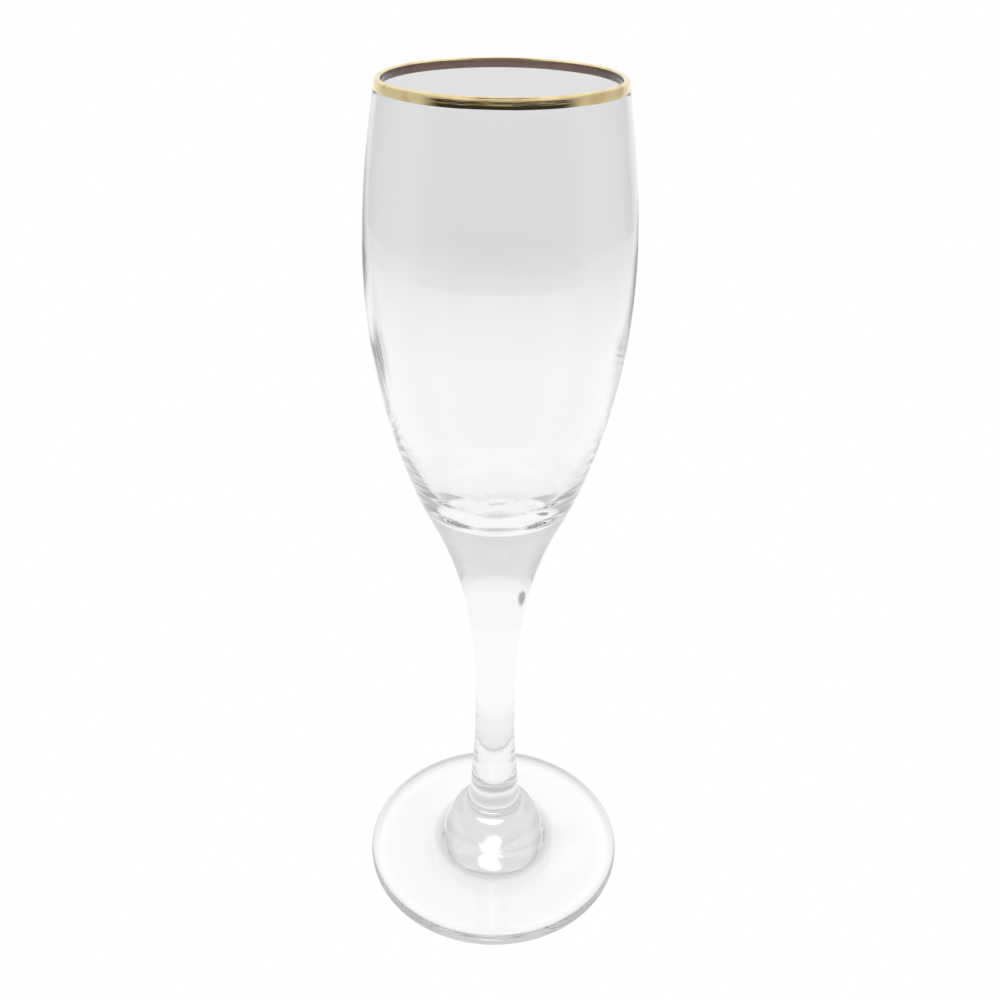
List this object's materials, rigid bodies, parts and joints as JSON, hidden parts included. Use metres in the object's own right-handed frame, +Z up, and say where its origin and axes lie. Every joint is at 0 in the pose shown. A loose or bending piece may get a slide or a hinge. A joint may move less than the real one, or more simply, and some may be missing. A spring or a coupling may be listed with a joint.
{
  "type": "champagne flute",
  "caption": "Stemmed champagne flute: tulip bowl with a thick base on a slim drawn stem and a round foot, in clear glass with a gold rim.",
  "frame": {"origin": "centre of the circle that the foot rests on, on the resting plane", "axes": "+Z up the axis of the stem and bowl, towards the mouth; X and Y are any two level directions, as the object is round"},
  "size_m": [0.0664, 0.0664, 0.2],
  "materials": {
    "bowl_glass": "fire-polished clear",
    "stem_glass": "drawn clear",
    "foot_glass": "pressed and fire-polished clear",
    "rim_gold": "bright fired liquid gold"
  },
  "bodies": {
    "root": {"bowl": "bowl_glass", "stem": "stem_glass", "foot": "foot_glass", "gold_rim": "rim_gold"}
  },
  "joints": []
}
